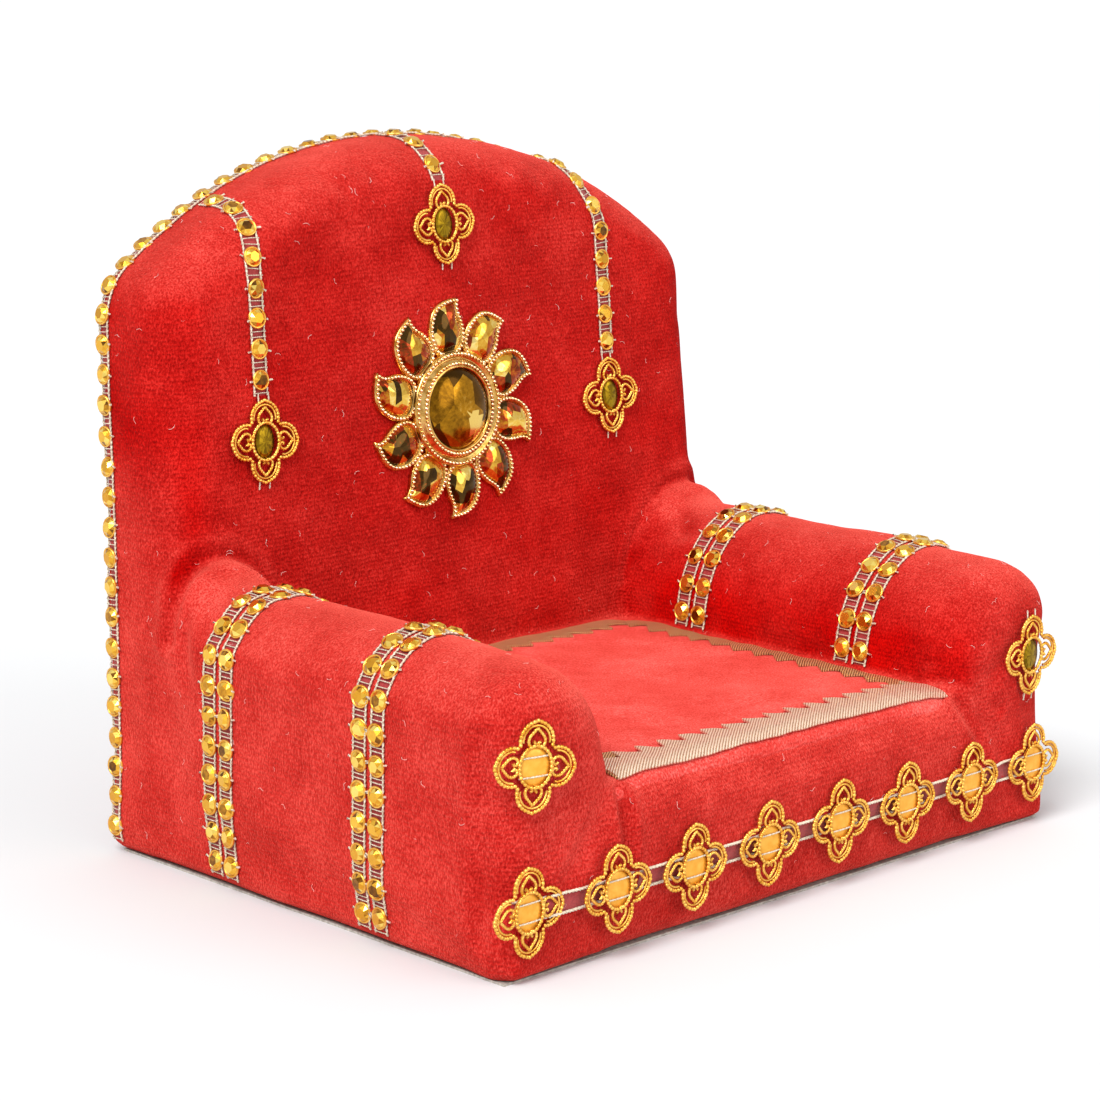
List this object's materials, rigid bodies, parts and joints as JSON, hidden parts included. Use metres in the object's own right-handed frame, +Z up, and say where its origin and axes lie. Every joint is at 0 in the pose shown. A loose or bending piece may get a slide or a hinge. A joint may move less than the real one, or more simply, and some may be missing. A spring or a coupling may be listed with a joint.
{
  "type": "miniature throne",
  "caption": "Miniature red velvet shrine throne with an arched leaning back, padded roll arms, a bordered seat mat, gold stone chains, quatrefoil motifs and a sun medallion.",
  "frame": {"origin": "centre of the flat underside, on the surface the throne stands on", "axes": "+X across the seat to the right as seen from the front, +Y to the back, +Z up"},
  "size_m": [0.1673, 0.1285, 0.143],
  "materials": {
    "card": "pale grey-white card, matt",
    "velvet": "red velvet with a short mottled pile",
    "mat_velvet": "red velvet with the pile brushed lighter",
    "zari_light": "woven pale gold metallic thread",
    "zari_rose": "woven rose gold metallic thread",
    "net_ribbon": "mauve net between two pale twisted cords",
    "stone_chain": "gold mirror-backed faceted stones on silver-gold thread",
    "gold_motif": "metallised gold plastic with beaded rims",
    "mirror_plastic": "amber mirror-backed stones in a beaded gold setting"
  },
  "bodies": {
    "root": {"base_card": "card", "backrest": "velvet", "left_arm": "velvet", "right_arm": "velvet", "seat_block": "velvet", "seat_mat": "mat_velvet", "mat_border_front": "zari_light", "mat_border_right": "zari_rose", "mat_border_back": "zari_rose", "mat_border_left": "zari_rose", "rim_chain": "stone_chain", "left_arm_band_front": "stone_chain", "left_arm_band_rear": "stone_chain", "right_arm_band_front": "stone_chain", "right_arm_band_rear": "stone_chain", "hanging_chain_left": "stone_chain", "hanging_chain_centre": "stone_chain", "hanging_chain_right": "stone_chain", "hanging_motif_left": "gold_motif", "hanging_motif_centre": "gold_motif", "hanging_motif_right": "gold_motif", "front_ribbon": "net_ribbon", "front_motif_1": "gold_motif", "front_motif_2": "gold_motif", "front_motif_3": "gold_motif", "front_motif_4": "gold_motif", "front_motif_5": "gold_motif", "front_motif_6": "gold_motif", "front_motif_7": "gold_motif", "front_motif_8": "gold_motif", "left_arm_motif": "gold_motif", "right_arm_motif": "gold_motif", "sun_medallion": "mirror_plastic"}
  },
  "joints": []
}
